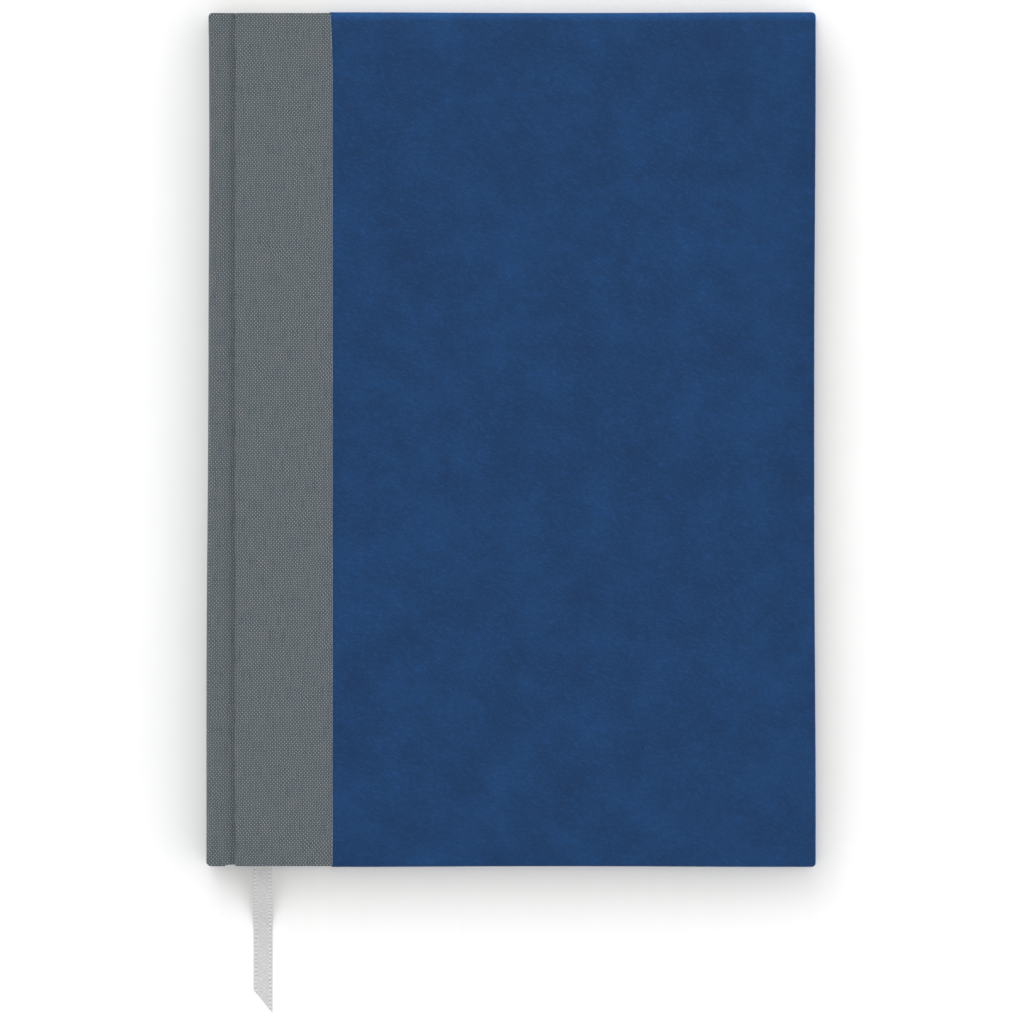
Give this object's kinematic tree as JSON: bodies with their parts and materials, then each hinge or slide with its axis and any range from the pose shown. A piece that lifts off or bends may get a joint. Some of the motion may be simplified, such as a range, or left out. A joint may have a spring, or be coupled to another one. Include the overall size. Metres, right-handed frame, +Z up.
{
  "type": "pilot logbook",
  "caption": "Case-bound logbook with a woven cloth spine, leatherette covers that open flat, sewn leaves and a marker ribbon at the tail.",
  "frame": {"origin": "middle of the back cover's outer face, on the surface that the closed book lies on", "axes": "+X from the spine to the fore edge, +Y from the tail to the head, +Z up through the leaves to the front cover"},
  "size_m": [0.154, 0.2533, 0.018],
  "materials": {
    "leatherette": "satin",
    "bookcloth": "matte",
    "grey_board": "matte",
    "endpaper": "matte",
    "leaves": "matte",
    "sewing_thread": "matte",
    "mull": "matte",
    "kraft_paper": "matte",
    "headband": "satin",
    "satin_ribbon": "satin"
  },
  "bodies": {
    "rear_pages": {"section_07": "leaves", "section_08": "leaves", "section_09": "leaves", "section_10": "leaves", "section_11": "leaves", "section_12": "leaves", "ribbon_inner": "satin_ribbon", "back_joint_cloth": "bookcloth"},
    "back_cover": {"back_board": "grey_board", "back_cloth": "bookcloth", "back_leatherette": "leatherette", "back_mull_flap": "mull", "back_pastedown": "endpaper"},
    "back_flyleaf": {"back_flyleaf": "endpaper"},
    "spine": {"spine_board": "grey_board", "spine_cloth": "bookcloth", "mull": "mull", "spine_liner": "kraft_paper", "headband": "headband", "tailband": "headband", "sewing_thread": "sewing_thread"},
    "front_pages": {"section_01": "leaves", "section_02": "leaves", "section_03": "leaves", "section_04": "leaves", "section_05": "leaves", "section_06": "leaves", "front_joint_cloth": "bookcloth"},
    "front_cover": {"front_board": "grey_board", "front_cloth": "bookcloth", "front_leatherette": "leatherette", "front_mull_flap": "mull", "front_pastedown": "endpaper"},
    "front_flyleaf": {"front_flyleaf": "endpaper"},
    "ribbon_fall": {"ribbon_fall": "satin_ribbon"},
    "ribbon_end": {"ribbon_end": "satin_ribbon"}
  },
  "joints": [
    {"name": "back_hinge", "type": "hinge", "parent": "rear_pages", "child": "back_cover", "pos_m": [-0.0744, 0, 0.0026], "axis": [0, 1, 0], "range_deg": [0, 178], "deforming": ["back_joint_cloth"]},
    {"name": "back_flyleaf_turn", "type": "hinge", "parent": "rear_pages", "child": "back_flyleaf", "pos_m": [-0.0744, 0, 0.0026], "axis": [0, 1, 0], "range_deg": [0, 176]},
    {"name": "centre_opening", "type": "hinge", "parent": "rear_pages", "child": "spine", "pos_m": [-0.0744, 0, 0.0026], "axis": [0, 1, 0], "range_deg": [-90, 0]},
    {"name": "front_pages_turn", "type": "hinge", "parent": "spine", "child": "front_pages", "pos_m": [-0.0744, 0, 0.0154], "axis": [0, 1, 0], "range_deg": [-90, 0]},
    {"name": "front_hinge", "type": "hinge", "parent": "front_pages", "child": "front_cover", "pos_m": [-0.0744, 0, 0.0154], "axis": [0, -1, 0], "range_deg": [0, 178], "deforming": ["front_joint_cloth"]},
    {"name": "front_flyleaf_turn", "type": "hinge", "parent": "front_pages", "child": "front_flyleaf", "pos_m": [-0.0744, 0, 0.0154], "axis": [0, -1, 0], "range_deg": [0, 176]},
    {"name": "ribbon_lift", "type": "hinge", "parent": "rear_pages", "child": "ribbon_fall", "pos_m": [-0.0629, -0.10515, 0.0089], "axis": [-1, 0, 0], "range_deg": [0, 40]},
    {"name": "ribbon_curl", "type": "hinge", "parent": "ribbon_fall", "child": "ribbon_end", "pos_m": [-0.0629, -0.12692, 0.0001], "axis": [-1, 0, 0], "range_deg": [0, 60]}
  ],
  "couplings": [
    {"joint": "front_pages_turn", "follows": "centre_opening", "ratio": 1},
    {"joint": "back_flyleaf_turn", "follows": "back_hinge", "ratio": 0.97},
    {"joint": "front_flyleaf_turn", "follows": "front_hinge", "ratio": 0.97}
  ]
}
